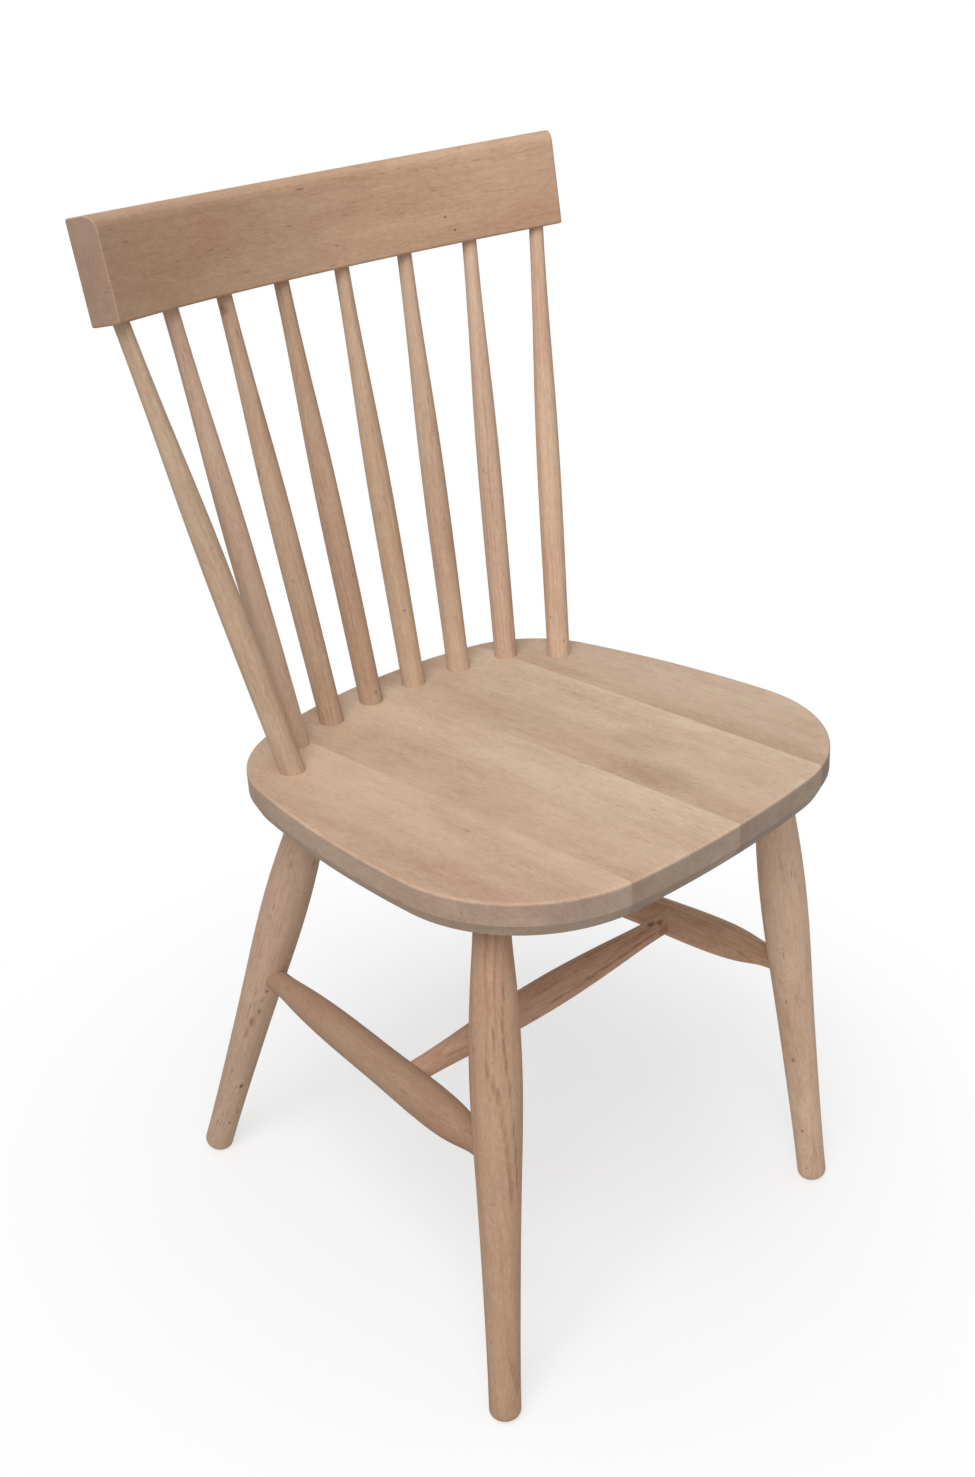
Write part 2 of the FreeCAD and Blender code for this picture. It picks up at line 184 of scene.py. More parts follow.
def soft_box(name, place, size, watts):
    """A square soft box that faces the chair."""
    lamp = bpy.data.lights.new(name, "AREA")
    lamp.shape = "SQUARE"
    lamp.size = size
    lamp.energy = watts
    holder = bpy.data.objects.new(name, lamp)
    holder.location = place
    towards = Vector((0, 0, 0.45)) - Vector(place)
    holder.rotation_euler = towards.to_track_quat("-Z", "Y").to_euler()
    bpy.context.collection.objects.link(holder)
    return holder


soft_box("key_box", (-1.7, -0.9, 3.0), 1.8, 60)
soft_box("front_box", (-1.5, -1.7, 1.5), 1.2, 8)
print("world and soft boxes ready")

# %% [markdown]
# ## Beech, worked out in three dimensions
#
# A plank shows its rings only because the saw cut through them. So the recipe doesn't paint lines
# on a surface. It describes the wood inside the piece, and the surface shows whatever it cuts:
# long stripes where it runs along the rings, ovals where a turned swell bulges through them, and
# arcs on end grain.
#
# The grain runs along Z, and the heart of the tree is the Z axis itself, outside the piece. Sizes
# inside the recipe are in millimetres, because that is how grain is judged.

# %% Start the recipe for beech
beech = bpy.data.node_groups.new("beech", "ShaderNodeTree")
for name, kind in (("Wood", "NodeSocketVector"), ("Seed", "NodeSocketFloat"),
                   ("End", "NodeSocketFloat"), ("Ring width", "NodeSocketFloat"),
                   ("Ring strength", "NodeSocketFloat"), ("Streaks", "NodeSocketFloat"),
                   ("Clouds", "NodeSocketFloat"), ("Flecks", "NodeSocketFloat"),
                   ("Tint", "NodeSocketColor")):
    beech.interface.new_socket(name, in_out="INPUT", socket_type=kind)
for name, kind in (("Colour", "NodeSocketColor"), ("Roughness", "NodeSocketFloat"),
                   ("Height", "NodeSocketFloat")):
    beech.interface.new_socket(name, in_out="OUTPUT", socket_type=kind)
given = put(beech, "NodeGroupInput").outputs
result = put(beech, "NodeGroupOutput")


def along(vector, factors):
    """Stretches a vector by three factors."""
    return put(beech, "ShaderNodeVectorMath", vector, factors, operation="MULTIPLY").outputs[0]


def cloud(vector, scale, detail=2.0, rough=0.5):
    """Soft noise around one half, never the same on two pieces."""
    node = put(beech, "ShaderNodeTexNoise", None, None, scale, detail, rough,
               noise_dimensions="4D")
    beech.links.new(vector, node.inputs["Vector"])
    beech.links.new(given["Seed"], node.inputs["W"])
    return node


wood = along(given["Wood"], (1000, 1000, 1000))
print("recipe started, sizes in millimetres")

# %% [markdown]
# ### Growth rings
#
# A tree isn't a perfect cylinder, so the distance to the heart is bent by slow noise that changes
# far more slowly along the trunk than across it. The ring itself is darker towards its outer edge
# and then starts pale again at once. In beech this is faint, and some years are fainter than
# others.

# %% Grow the rings
drift_reach = 30
drift = cloud(along(wood, (0.016, 0.016, 0.0045)), 1.0, 3.0, 0.50)
shift = put(beech, "ShaderNodeVectorMath", drift.outputs["Color"], (0.5, 0.5, 0.5),
            operation="SUBTRACT").outputs[0]
bent = put(beech, "ShaderNodeVectorMath", wood, along(shift, (drift_reach, drift_reach, 0)),
           operation="ADD").outputs[0]
parts = put(beech, "ShaderNodeSeparateXYZ", bent).outputs
radius = sums(beech, "SQRT", sums(beech, "ADD", sums(beech, "MULTIPLY", parts[0], parts[0]),
                                  sums(beech, "MULTIPLY", parts[1], parts[1])))
years = sums(beech, "DIVIDE", radius, given["Ring width"])
season = sums(beech, "FRACT", years)
late = fade(beech, season, 0.25, 0.93)
start = fade(beech, season, 0.93, 1.0, 1.0, 0.0)
which = put(beech, "ShaderNodeTexWhiteNoise", sums(beech, "FLOOR", years),
            noise_dimensions="1D")
ring = sums(beech, "MULTIPLY", sums(beech, "MULTIPLY", late, start),
            fade(beech, which.outputs["Value"], 0.0, 1.0, 0.15, 1.0, smooth=False))
print("rings grown")

# %% [markdown]
# ### Rays, the flecks of beech
#
# What gives beech away is its rays: thin ribbons of tissue that run from the heart outwards. Cut
# across, they are short dark dashes, a millimetre or so long and thinner than a hair's breadth or
# two. Cut along their side they become broad, faint patches. So the space round the heart is cut
# into cells that are long outwards, short along the trunk and very narrow around it, and each cell
# holds one ray or none. The same rule then gives dashes on one face of a piece and flakes on the
# next, as the tree does.

# %% Add the rays
def cells(vector):
    """Voronoi cells: how far the point is from its cell's middle, and the cell's own number."""
    node = put(beech, "ShaderNodeTexVoronoi", None, None, 1.0, feature="F1",
               voronoi_dimensions="4D")
    beech.links.new(vector, node.inputs["Vector"])
    beech.links.new(given["Seed"], node.inputs["W"])
    own = put(beech, "ShaderNodeSeparateColor", node.outputs["Color"]).outputs
    return node.outputs["Distance"], own[0]


plain = put(beech, "ShaderNodeSeparateXYZ", wood).outputs
usual_radius = 90.0
around = sums(beech, "MULTIPLY", sums(beech, "ARCTAN2", plain[1], plain[0]), usual_radius)


def rays(wide, deep, tall, share):
    """Rays as cells of a size in millimetres: around, outwards and along. Only some are filled."""
    place = put(beech, "ShaderNodeCombineXYZ", sums(beech, "DIVIDE", around, wide),
                sums(beech, "DIVIDE", radius, deep),
                sums(beech, "DIVIDE", plain[2], tall)).outputs[0]
    distance, own = cells(place)
    mark = fade(beech, distance, 0.16, 0.42, 1.0, 0.0)
    filled = fade(beech, own, 1 - share, 1 - share * 0.35)
    return sums(beech, "MULTIPLY", mark, filled)


small_rays = rays(1.7, 9.0, 7.0, 0.45)
large_rays = rays(3.0, 14.0, 15.0, 0.22)
crowd = cloud(along(wood, (0.055, 0.055, 0.018)), 1.0, 1.0, 0.5).outputs[0]
flecks = sums(beech, "MAXIMUM", sums(beech, "MULTIPLY", small_rays, 0.7), large_rays)
flecks = sums(beech, "MULTIPLY", flecks, fade(beech, crowd, 0.40, 0.62, 0.25, 1.0))
flecks = sums(beech, "MULTIPLY", flecks, given["Flecks"])
print("rays added")

# %% [markdown]
# ### Streaks, pores and clouds
#
# Between the rings the wood is never one tone. Long thin streaks follow the grain, each a
# centimetre or more long; the pores give it a very fine thread; a fine mottle comes from the
# sanding; and whole areas are a little pinker or greyer where the plank dried differently. All of
# these are noise, stretched along the grain by different amounts.

# %% Add streaks, pores and clouds
streaks = cloud(along(wood, (0.42, 0.42, 0.010)), 1.0, 3.0, 0.6).outputs[0]
threads = cloud(along(wood, (2.4, 2.4, 0.055)), 1.0, 2.0, 0.55).outputs[0]
dashes = cloud(along(wood, (0.85, 0.85, 0.16)), 1.0, 2.0, 0.65).outputs[0]
pores = cloud(along(wood, (5.5, 5.5, 0.35)), 1.0, 1.0, 0.5).outputs[0]
clouds = cloud(along(wood, (0.020, 0.020, 0.0045)), 1.0, 2.0, 0.5).outputs[0]
drying = cloud(along(wood, (0.011, 0.011, 0.006)), 1.3, 1.0, 0.5).outputs[0]
mottle = cloud(along(wood, (0.11, 0.11, 0.040)), 1.0, 3.0, 0.6).outputs[0]
print("streaks, pores and clouds added")

# %% [markdown]
# ### The colour of bare beech
#
# Each of these makes the wood a little darker, and they simply add up. The light parts take the
# piece's own tint, and the dark parts the same tint turned redder and browner, as the late wood
# is. End grain drinks in light: it is darker and greyer than the face beside it.

# %% Mix the colour
def weigh(value, middle, weight):
    """A share of darkness, more or less than none, from a value round its middle."""
    return sums(beech, "MULTIPLY", sums(beech, "SUBTRACT", value, middle), weight)


lines = weigh(streaks, 0.5, 0.80)
for share in (weigh(threads, 0.5, 0.65), weigh(pores, 0.5, 0.45)):
    lines = sums(beech, "ADD", lines, share)
ring = sums(beech, "MULTIPLY", ring, fade(beech, clouds, 0.40, 0.58, 0.30, 1.15))
dark = sums(beech, "ADD", sums(beech, "MULTIPLY", ring, given["Ring strength"]),
            weigh(dashes, 0.5, 0.95))
for share, strength in ((lines, "Streaks"), (weigh(clouds, 0.5, 1.0), "Clouds"),
                        (weigh(mottle, 0.5, 0.60), "Clouds")):
    dark = sums(beech, "ADD", dark, sums(beech, "MULTIPLY", share, given[strength]))
dark = sums(beech, "ADD", dark, 0.25, clamp=True)


late_factor = (0.61, 0.50, 0.44, 1)
dried_factor = (0.97, 0.90, 0.90, 1)
fleck_factor = (0.56, 0.42, 0.36, 1)
end_factor = (0.79, 0.79, 0.82, 1)
late_wood = times(beech, given["Tint"], late_factor)
tone = mixed(beech, dark, given["Tint"], late_wood)
tone = mixed(beech, fade(beech, drying, 0.50, 0.68, 0.0, 0.5), tone,
             times(beech, tone, dried_factor))
tone = mixed(beech, sums(beech, "MULTIPLY", flecks, 0.75), tone,
             times(beech, tone, fleck_factor))
tone = mixed(beech, sums(beech, "MULTIPLY", given["End"], 0.8), tone,
             times(beech, tone, end_factor))
beech.links.new(tone, result.inputs["Colour"])
print("colour mixed")

# %% [markdown]
# ### How it takes the light
#
# The chair is sanded but bare, so nothing on it shines. Late wood is denser and a touch smoother,
# end grain is rough. The height is for a bump: pores and threads are shallow furrows, well under a
# tenth of a millimetre deep.

# %% Set roughness and height
sanded = 0.64
rough = sums(beech, "SUBTRACT", sanded, sums(beech, "MULTIPLY", dark, 0.12))
rough = sums(beech, "ADD", rough, sums(beech, "MULTIPLY", pores, 0.10))
rough = sums(beech, "ADD", rough, sums(beech, "MULTIPLY", given["End"], 0.12), clamp=True)
beech.links.new(rough, result.inputs["Roughness"])
height = sums(beech, "SUBTRACT", sums(beech, "MULTIPLY", threads, 0.6),
              sums(beech, "MULTIPLY", flecks, 0.3))
height = sums(beech, "ADD", height, sums(beech, "MULTIPLY", pores, 0.5))
beech.links.new(height, result.inputs["Height"])
print("roughness and height set;", len(beech.nodes), "nodes in the recipe")

# %% [markdown]
# ## Cutting a piece from the tree
#
# To use the recipe, each piece needs to know where it lay in its tree: which way the grain ran,
# how far the heart was, and on which side. One rotation and one offset say all of that. A Mapping
# node of the kind called Texture carries a point of the piece into the tree.

# %% Lay a piece in the tree
def grain_frame(direction, side):
    """A rotation whose Z runs with the grain, and whose X points to the given side."""
    z = Vector(direction).normalized()
    x = Vector(side)
    x = (x - z * x.dot(z)).normalized()
    y = z.cross(x)
    return Matrix((x, y, z)).transposed()


def points_of(name):
    """The corners of a piece's mesh, as numbers."""
    mesh = chair[name].data
    found = np.empty(len(mesh.vertices) * 3)
    mesh.vertices.foreach_get("co", found)
    return found.reshape(-1, 3)


def axis_of(name):
    """The middle and the direction of a long piece, upwards or to +X or towards the back."""
    found = points_of(name)
    middle = (found.min(0) + found.max(0)) / 2
    spread = found - found.mean(0)
    direction = np.linalg.eigh(spread.T @ spread)[1][:, 2]
    if direction[np.argmax(abs(direction))] < 0:
        direction = -direction
    return Vector(middle), Vector(direction)


print("leg_front_right runs along", [round(v, 3) for v in axis_of("leg_front_right")[1]])

# %% [markdown]
# ### Marks of their own
#
# Here and there the photograph shows a mark that no recipe would put in the right place: a pin
# knot, a dark streak, a bruise. Each is a soft long spot in the wood, given by its place on the
# chair. It is found in three dimensions, so it stays put from every side. A wavy streak is a row
# of such spots that run into each other, and noise makes their edges ragged.

# %% Add a mark
mark_factor = (0.42, 0.28, 0.22, 1)


def spots(tree, place, turn, marks):
    """Darkness round points of a piece. A mark is its middle, its half width and half length in
    millimetres, and its strength."""
    per_metre = 330.0
    noise = put(tree, "ShaderNodeTexNoise", place, per_metre, 2.0, 0.6).outputs[0]
    ragged = sums(tree, "MULTIPLY", sums(tree, "SUBTRACT", noise, 0.5), 0.9)
    total = 0.0
    for middle, wide, tall, strength in marks:
        size = (wide / 1000, wide / 1000, tall / 1000)
        local = put(tree, "ShaderNodeMapping", place, middle, tuple(turn.to_euler()), size,
                    vector_type="TEXTURE").outputs[0]
        far = put(tree, "ShaderNodeVectorMath", local, operation="LENGTH").outputs["Value"]
        shade = fade(tree, sums(tree, "ADD", far, ragged), 0.30, 1.15, strength, 0.0)
        total = sums(tree, "MAXIMUM", total, shade)
    return total


def streak(points, wide, strength):
    """A row of marks that run into one dark streak along the given points."""
    overlap = 1.7
    marks = []
    for start, stop in zip(points, points[1:]):
        start, stop = Vector(start), Vector(stop)
        tall = (stop - start).length * 1000 * overlap / 2
        marks.append((tuple((start + stop) / 2), wide, tall, strength))
    return tuple(marks)


print("marks ready")

# %% [markdown]
# ### The finished material
#
# Every piece is finished the same way. The wood colour is toned by whatever the piece adds to it,
# and one Principled shader takes it with its roughness and a fine bump.

# %% Finish a material
bump_strength = 0.7
furrow_depth = 0.00008
bare_wood_gloss = 0.20


def facing(tree, normal, direction):
    """How squarely the surface faces a direction, from 1 through 0 to -1."""
    return put(tree, "ShaderNodeVectorMath", normal, tuple(direction),
               operation="DOT_PRODUCT").outputs["Value"]


def end_grain(tree, squarely):
    """One where the surface is cut across the grain, and nothing where it runs along it."""
    return fade(tree, sums(tree, "ABSOLUTE", squarely), 0.60, 0.92)


def material_for(name, middle, turn, heart, seed, tint, ring_width=2.6, ring_strength=0.25,
                 streaks=0.6, clouds=1.0, flecks=1.0, extra=None, marks=(), end=None,
                 wood_of=None):
    """Dresses one piece. heart is the way from the tree's heart to the piece, in metres."""
    material, tree, out = fresh("beech_" + name)
    coords = put(tree, "ShaderNodeTexCoord")
    place, normal = coords.outputs["Object"], coords.outputs["Normal"]
    origin = Vector(middle) - turn @ Vector((heart[0], heart[1], 0))
    if wood_of is None:
        inside = put(tree, "ShaderNodeMapping", place, tuple(origin), tuple(turn.to_euler()),
                     vector_type="TEXTURE").outputs[0]
    else:
        inside = wood_of(tree, place, heart)
    if end is None:
        end = end_grain(tree, facing(tree, normal, turn.col[2]))
    else:
        end = end(tree, place, normal)
    group = tree.nodes.new("ShaderNodeGroup")
    group.node_tree = beech
    for socket, feed in (("Wood", inside), ("End", end)):
        tree.links.new(feed, group.inputs[socket])
    for socket, value in (("Seed", seed), ("Ring width", ring_width),
                          ("Ring strength", ring_strength), ("Streaks", streaks),
                          ("Clouds", clouds), ("Flecks", flecks), ("Tint", tint)):
        group.inputs[socket].default_value = value
    tone = group.outputs["Colour"]
    if extra:
        tone = extra(tree, place, normal, tone)
    if marks:
        tone = mixed(tree, spots(tree, place, turn, marks), tone,
                     times(tree, tone, mark_factor))
    bump = put(tree, "ShaderNodeBump")
    bump.inputs["Strength"].default_value = bump_strength
    bump.inputs["Distance"].default_value = furrow_depth
    tree.links.new(group.outputs["Height"], bump.inputs["Height"])
    skin = tree.nodes.new("ShaderNodeBsdfPrincipled")
    tree.links.new(tone, skin.inputs["Base Color"])
    tree.links.new(group.outputs["Roughness"], skin.inputs["Roughness"])
    tree.links.new(bump.outputs[0], skin.inputs["Normal"])
    skin.inputs["Specular IOR Level"].default_value = bare_wood_gloss
    tree.links.new(skin.outputs[0], out.inputs[0])
    for slot in chair[name].material_slots:
        slot.material = material


print("material_for ready")

# %% [markdown]
# ## The tone of each piece
#
# No two planks have quite the same tone, and the photograph shows each one. These are the colours
# of the light wood between the rings, as a paint chart would give them. Everything darker is made
# from them by the recipe.

# %% Set the tones
tones = {
    "seat_board_right_outer": (210, 182, 157),
    "seat_board_right_inner": (214, 188, 162),
    "seat_board_left_inner": (215, 190, 165),
    "seat_board_left_outer": (213, 188, 163),
    "leg_front_left": (225, 194, 167),
    "leg_front_right": (197, 163, 136),
    "leg_rear_left": (212, 180, 150),
    "leg_rear_right": (206, 177, 154),
    "side_stretcher_left": (210, 175, 146),
    "side_stretcher_right": (176, 144, 119),
    "cross_stretcher": (210, 172, 145),
    "spindle_1": (203, 178, 153),
    "spindle_2": (206, 178, 155),
    "spindle_3": (199, 170, 145),
    "spindle_4": (194, 163, 138),
    "spindle_5": (206, 178, 151),
    "spindle_6": (208, 180, 155),
    "spindle_7": (219, 190, 166),
    "spindle_8": (223, 193, 166),
    "crest_rail": (198, 166, 139),
}
print(len(tones), "tones")

# %% [markdown]
# ## The seat
#
# Four boards, sanded flat together after gluing. Each was cut from its own plank, so the tone
# jumps at every glue line: each board is a little darker along its right edge and grades lighter
# to its left one. The grain runs from front to back, so the front and the back of the edge show
# end grain.

# %% Grade the seat boards
seat_fall = math.radians(4.0)
seat_turned = math.radians(1.3)
seat_frame = Matrix.Rotation(-seat_fall, 3, "X") @ Matrix.Rotation(seat_turned, 3, "Z")
seat_across, seat_back, seat_up = (seat_frame.col[i].copy() for i in range(3))
right_factor = (0.904, 0.872, 0.859, 1)
left_factor = (1.047, 1.064, 1.072, 1)
# Painted shade: the upright sides of the seat darker and greyer, and what faces down darker still.
side_shade_factor = (0.82, 0.87, 0.925, 1)
underside_shade_factor = (0.76, 0.82, 0.87, 1)
# A painted highlight, with some sanding wear, on the rounded top corner of the boards.
arris_wear_and_highlight_factor = (1.12, 1.12, 1.12, 1)


def board_tones(right_edge, left_edge):
    """Grades a board across its width, paints shade on its sides and underside, and a highlight
    with some sanding wear on its rounded top corner.
    """
    def extra(tree, place, normal, tone):
        walk = put(tree, "ShaderNodeVectorMath", place, tuple(seat_across),
                   operation="DOT_PRODUCT").outputs["Value"]
        wave = put(tree, "ShaderNodeTexNoise", place, 9.0, 2.0, 0.5).outputs[0]
        sway = sums(tree, "MULTIPLY", sums(tree, "SUBTRACT", wave, 0.5), 0.03)
        across = fade(tree, sums(tree, "ADD", walk, sway), right_edge, left_edge)
        tone = times(tree, tone, mixed(tree, across, right_factor, left_factor))
        # Painted shade on the upright sides, and more painted shade on whatever faces down.
        up = facing(tree, normal, seat_up)
        side_shade = fade(tree, sums(tree, "ABSOLUTE", up), 0.45, 0.15)
        tone = mixed(tree, side_shade, tone, times(tree, tone, side_shade_factor))
        underside_shade = fade(tree, up, -0.15, -0.45)
        tone = mixed(tree, underside_shade, tone, times(tree, tone, underside_shade_factor))
        # Painted highlight with some sanding wear along the rounded top corner, broken up by noise.
        arris_wear_and_highlight = sums(tree, "MULTIPLY", fade(tree, up, 0.15, 0.40), fade(tree, up, 0.97, 0.80))
        arris_wear_and_highlight = sums(tree, "MULTIPLY", arris_wear_and_highlight, fade(tree, wave, 0.35, 0.65, 0.2, 0.9))
        return mixed(tree, arris_wear_and_highlight, tone, times(tree, tone, arris_wear_and_highlight_factor))
    return extra


print("the seat falls back", round(math.degrees(seat_fall), 1), "degrees")

# %% [markdown]
# Each row below is a board: its right and left edge across the seat, the way from the tree's heart
# to the board, and the softly darker patches that the photograph shows on it.

# %% Dress the seat boards
boards = (("seat_board_right_outer", -0.203, -0.103, (0.020, -0.085), ()),
          ("seat_board_right_inner", -0.103, 0.007, (-0.015, -0.070),
           (((-0.085, -0.070, 0.446), 26, 50, 0.16),)),
          ("seat_board_left_inner", 0.007, 0.118, (0.030, 0.110),
           (((0.030, -0.140, 0.451), 24, 46, 0.30), ((0.062, -0.095, 0.448), 22, 40, 0.20))),
          ("seat_board_left_outer", 0.118, 0.203, (-0.010, -0.095), ()))
for i, (name, right_edge, left_edge, heart, marks) in enumerate(boards):
    found = points_of(name)
    middle = (found.min(0) + found.max(0)) / 2
    material_for(name, middle, grain_frame(seat_back, seat_across), heart, 11.0 + i,
                 colour(*tones[name]), ring_width=4.5, ring_strength=0.08, streaks=0.45,
                 clouds=1.2, flecks=0.5, marks=marks,
                 extra=board_tones(right_edge, left_edge))
print("seat boards dressed")

# %% [markdown]
# ## The turned pieces
#
# Legs, stretchers and spindles come off the lathe from straight square blanks. A straight blank
# cut through the rings and then turned to a swelling outline shows long narrow ovals and arches
# where the swell cuts into deeper rings. That needs nothing extra here, since the recipe works
# inside the wood.

# %% Lay a turned piece in its tree
def turned_piece(name, heart, roll, seed, lean=(0, 0, 0), **more):
    """Dresses a turned piece. roll turns the tree round the piece, in degrees, and lean is how far
    its grain runs out to a side."""
    middle, direction = axis_of(name)
    side = Vector((0, 0, 1)) if abs(direction.z) < 0.7 else Vector((1, 0, 0))
    turn = grain_frame(direction + Vector(lean), side)
    turn = turn @ Matrix.Rotation(math.radians(roll), 3, "Z")
    material_for(name, middle, turn, (heart, 0.0), seed, colour(*tones[name]), **more)


print("turned_piece ready")

# %% [markdown]
# ### The front legs
#
# The front right leg is the nearest piece to the camera, and the most figured one. Its blank had
# grain that ran out to a side, so two dark years wander down its face, with a row of small red
# bars beside them. The left one is pale, with a few pin knots.

# %% Dress the front legs
turned_piece("leg_front_left", 0.060, 200, 21.0, ring_width=5.0, ring_strength=0.35, clouds=1.6,
             flecks=1.1, marks=(
                 ((0.159, -0.188, 0.198), 1.6, 3.5, 0.6), ((0.155, -0.182, 0.218), 2.0, 4.0, 0.3),
                 ((0.166, -0.196, 0.136), 2.0, 3.0, 0.7), ((0.175, -0.207, 0.058), 1.8, 2.2, 0.8),
                 ((0.178, -0.208, 0.037), 1.6, 2.0, 0.5), ((0.180, -0.212, 0.016), 1.8, 1.8, 0.5)))
dark_year = streak((
    (-0.162, -0.174, 0.377), (-0.165, -0.177, 0.364), (-0.168, -0.179, 0.351),
    (-0.169, -0.181, 0.337), (-0.170, -0.184, 0.322), (-0.170, -0.187, 0.306),
    (-0.169, -0.188, 0.288), (-0.170, -0.191, 0.272), (-0.170, -0.194, 0.253),
    (-0.170, -0.196, 0.232), (-0.171, -0.198, 0.211)), 1.5, 0.48)
broad_year = streak((
    (-0.180, -0.174, 0.314), (-0.180, -0.180, 0.303), (-0.179, -0.184, 0.294),
    (-0.177, -0.187, 0.282), (-0.177, -0.189, 0.267), (-0.177, -0.192, 0.252),
    (-0.177, -0.195, 0.237), (-0.177, -0.197, 0.221), (-0.177, -0.200, 0.202)), 2.6, 0.34)
red_row = streak((
    (-0.1743, -0.1755, 0.345), (-0.1746, -0.1775, 0.333), (-0.1757, -0.1780, 0.323),
    (-0.1762, -0.1782, 0.315), (-0.1785, -0.1792, 0.308)), 1.2, 0.50)
red_bars = (((-0.1765, -0.1782, 0.3165), 2.2, 1.2, 0.6), ((-0.1746, -0.1770, 0.334), 1.4, 0.9, 0.5))
turned_piece("leg_front_right", 0.030, 95, 22.0, (-0.025, 0.024, 0), ring_width=6.5,
             ring_strength=0.40, flecks=0.8, marks=dark_year + broad_year + red_row + red_bars)
print(len(dark_year + broad_year), "spots make the two dark years")

# %% [markdown]
# ### The rear legs
#
# The rear right leg has small knots one under the other below its stretcher. The rear left one
# hides behind the front leg in the photograph, so it is a plain piece of the same wood.

# %% Dress the rear legs
turned_piece("leg_rear_left", 0.070, 140, 23.0, ring_width=4.5, clouds=1.3)
small_knots = (
    ((-0.1475, 0.128, 0.197), 1.8, 3.0, 0.8), ((-0.1505, 0.132, 0.187), 1.5, 4.0, 0.4),
    ((-0.152, 0.136, 0.173), 1.8, 3.5, 0.7), ((-0.156, 0.142, 0.162), 3.0, 8.0, 0.6),
    ((-0.159, 0.147, 0.148), 2.2, 7.0, 0.4), ((-0.167, 0.163, 0.101), 1.5, 3.0, 0.5),
    ((-0.164, 0.162, 0.082), 1.4, 2.5, 0.6), ((-0.161, 0.159, 0.083), 1.9, 4.0, 1.0),
    ((-0.168, 0.172, 0.037), 1.6, 3.0, 0.6))
turned_piece("leg_rear_right", 0.055, 40, 24.0, ring_width=4.5, ring_strength=0.2, flecks=1.3,
             marks=small_knots)
print(len(small_knots), "small knots on the rear right leg")

# %% [markdown]
# ### The stretchers
#
# The right side stretcher came from darker stock. The cross one has two dark knots where it enters
# the left side stretcher, and a brown streak along its underside.

# %% Dress the stretchers
turned_piece("side_stretcher_left", 0.045, 70, 25.0, ring_strength=0.5, streaks=1.1, clouds=1.6,
             flecks=1.1)
turned_piece("side_stretcher_right", 0.035, 160, 26.0, ring_width=3.0, ring_strength=0.22,
             streaks=0.8, flecks=1.1)
under_streak = streak((
    (-0.009, -0.072, 0.2215), (0.010, -0.071, 0.2212), (0.030, -0.071, 0.2208),
    (0.049, -0.071, 0.2223), (0.071, -0.070, 0.2214), (0.091, -0.068, 0.2221),
    (0.110, -0.067, 0.2218), (0.128, -0.066, 0.2223)), 2.0, 0.55)
joint_knots = (((0.138, -0.063, 0.2265), 3.0, 5.0, 0.9), ((0.129, -0.060, 0.227), 3.5, 6.0, 0.9),
               ((0.139, -0.067, 0.220), 6.0, 9.0, 0.5))
long_streaks = (((0.066, -0.058, 0.230), 3.0, 40.0, 0.35),
                ((0.110, -0.064, 0.226), 3.5, 30.0, 0.35),
                ((-0.005, -0.066, 0.232), 2.5, 30.0, 0.30))
turned_piece("cross_stretcher", 0.050, 20, 27.0, ring_strength=0.5, streaks=1.4,
             marks=under_streak + joint_knots + long_streaks)
print("three stretchers dressed")

# %% [markdown]
# ### The spindles
#
# Eight spindles from eight blanks. Each gets its own distance from the heart, its own turn about
# its axis and its own ring width, so that no two look alike. Two of them carry a pin knot.

# %% Dress the spindles
pin_knots = {5: (((0.021, 0.132, 0.498), 1.2, 1.4, 0.7),),
             8: (((0.142, 0.081, 0.470), 1.2, 1.4, 0.6),)}
for i in range(1, 9):
    heart = 0.040 + 0.008 * (i * 5 % 4)
    roll = 47 * i - 27
    turned_piece("spindle_" + str(i), heart, roll, 30.0 + i, flecks=1.0,
                 ring_width=3.4 + 0.4 * (i * 3 % 4), marks=pin_knots.get(i, ()))
print("eight spindles dressed")

# %% [markdown]
# ## The crest rail
#
# The rail was bent, so its grain runs round with it. A straight grain would run out of the ends
# and look sawn from a wide plank. Here the piece is unrolled first: the angle about the centre of
# the bend becomes the length, the distance from it the thickness. The recipe never knows that the
# rail is bent.

# %% Unroll the crest rail
rail_lean = math.radians(14.0)
rail_radius = 0.472
rail_half_thickness = 0.0114
rail_turn = Matrix.Rotation(-rail_lean, 3, "X")
upright_rail = points_of("crest_rail") @ np.array(rail_turn)
rail_back, rail_bottom = upright_rail[:, 1].max(), upright_rail[:, 2].min()
rail_centre = rail_turn @ Vector((0, rail_back - rail_half_thickness - rail_radius, rail_bottom))


def in_rail(tree, value, centre=None):
    """A place or a normal seen from the bend's centre, with the rail's lean taken out."""
    return put(tree, "ShaderNodeMapping", value, centre, tuple(rail_turn.to_euler()),
               vector_type="TEXTURE").outputs[0]


def unrolled(tree, place, heart):
    """Straightens the rail, and lays it in the tree."""
    local = in_rail(tree, place, tuple(rail_centre))
    x, y, z = put(tree, "ShaderNodeSeparateXYZ", local).outputs
    length = sums(tree, "MULTIPLY", sums(tree, "ARCTAN2", x, y), rail_radius)
    reach = sums(tree, "SQRT", sums(tree, "ADD", sums(tree, "MULTIPLY", x, x),
                                    sums(tree, "MULTIPLY", y, y)))
    depth = sums(tree, "SUBTRACT", reach, rail_radius)
    return put(tree, "ShaderNodeCombineXYZ", sums(tree, "ADD", depth, heart[0]),
               sums(tree, "ADD", z, heart[1]), length).outputs[0]


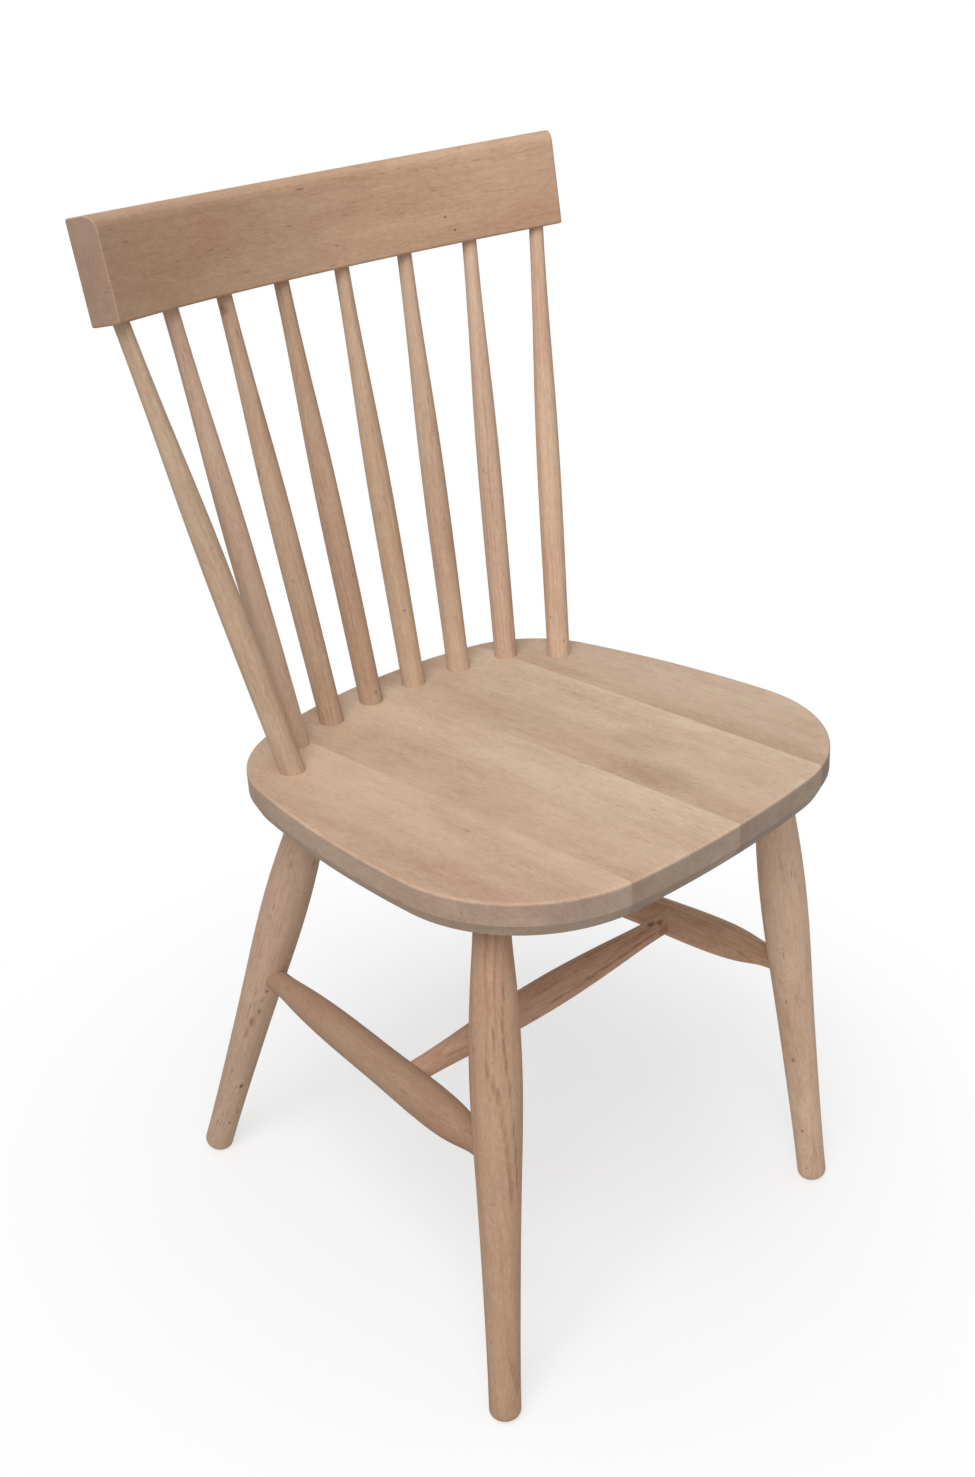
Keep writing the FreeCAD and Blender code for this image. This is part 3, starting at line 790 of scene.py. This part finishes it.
def rail_ends(tree, place, normal):
    """One on the sawn ends of the rail, where the surface faces neither in nor out nor up."""
    local = in_rail(tree, place, tuple(rail_centre))
    outwards = put(tree, "ShaderNodeVectorMath", local, (1, 1, 0), operation="MULTIPLY").outputs[0]
    outwards = put(tree, "ShaderNodeVectorMath", outwards, operation="NORMALIZE").outputs[0]
    crossed = put(tree, "ShaderNodeVectorMath", in_rail(tree, normal), outwards,
                  operation="CROSS_PRODUCT").outputs[0]
    return end_grain(tree, put(tree, "ShaderNodeSeparateXYZ", crossed).outputs[2])


print("bend centre", [round(v, 3) for v in rail_centre])

# %% [markdown]
# The rail is painted darker and browner towards its right end and lighter towards its left, a
# painted light and shade along its length. Its sawn ends are pinkish grey, and its upward faces get
# a painted highlight with some sanding wear, where the top edge was sanded round.

# %% Dress the crest rail
# Painted light and shade along the rail: darker at one end, lighter at the other.
shaded_end_factor = (0.865, 0.848, 0.829, 1)
lit_end_factor = (1.053, 1.062, 1.075, 1)
# A painted highlight, with some sanding wear, on the rail's upward faces.
rail_top_wear_and_highlight_factor = (1.14, 1.14, 1.15, 1)
sawn_factor = (0.91, 0.92, 0.99, 1)


def rail_tones(tree, place, normal, tone):
    """Paints light and shade along the rail, a highlight with some sanding wear on its top, and
    greys its sawn ends.
    """
    x = put(tree, "ShaderNodeSeparateXYZ", place).outputs[0]
    # Painted light and shade along the rail's length.
    painted_light_along_rail = fade(tree, x, -0.23, 0.21)
    tone = times(tree, tone, mixed(tree, painted_light_along_rail, shaded_end_factor, lit_end_factor))
    # Painted highlight with some sanding wear on the upward faces of the rail.
    up = facing(tree, normal, rail_turn.col[2])
    arris_wear_and_highlight = sums(tree, "MULTIPLY", fade(tree, up, 0.20, 0.75), 0.7)
    tone = mixed(tree, arris_wear_and_highlight, tone, times(tree, tone, rail_top_wear_and_highlight_factor))
    return mixed(tree, rail_ends(tree, place, normal), tone, times(tree, tone, sawn_factor))


rail_specks = (((0.1223, 0.1874, 0.7945), 1.5, 1.5, 0.9), ((0.1287, 0.1827, 0.7839), 1.3, 1.3, 0.9))
material_for("crest_rail", rail_centre, rail_turn, (0.080, -0.020), 41.0,
             colour(*tones["crest_rail"]), ring_width=3.2, ring_strength=0.15, streaks=0.5,
             flecks=0.9, wood_of=unrolled, end=rail_ends, extra=rail_tones, marks=rail_specks)
print("crest rail dressed")

# %% [markdown]
# ## The view
#
# The dressed chair stays exactly as large as its CAD model. Its colours are shown with the Standard
# view transform.

# %% Set the view transform
bpy.context.scene.view_settings.view_transform = "Standard"
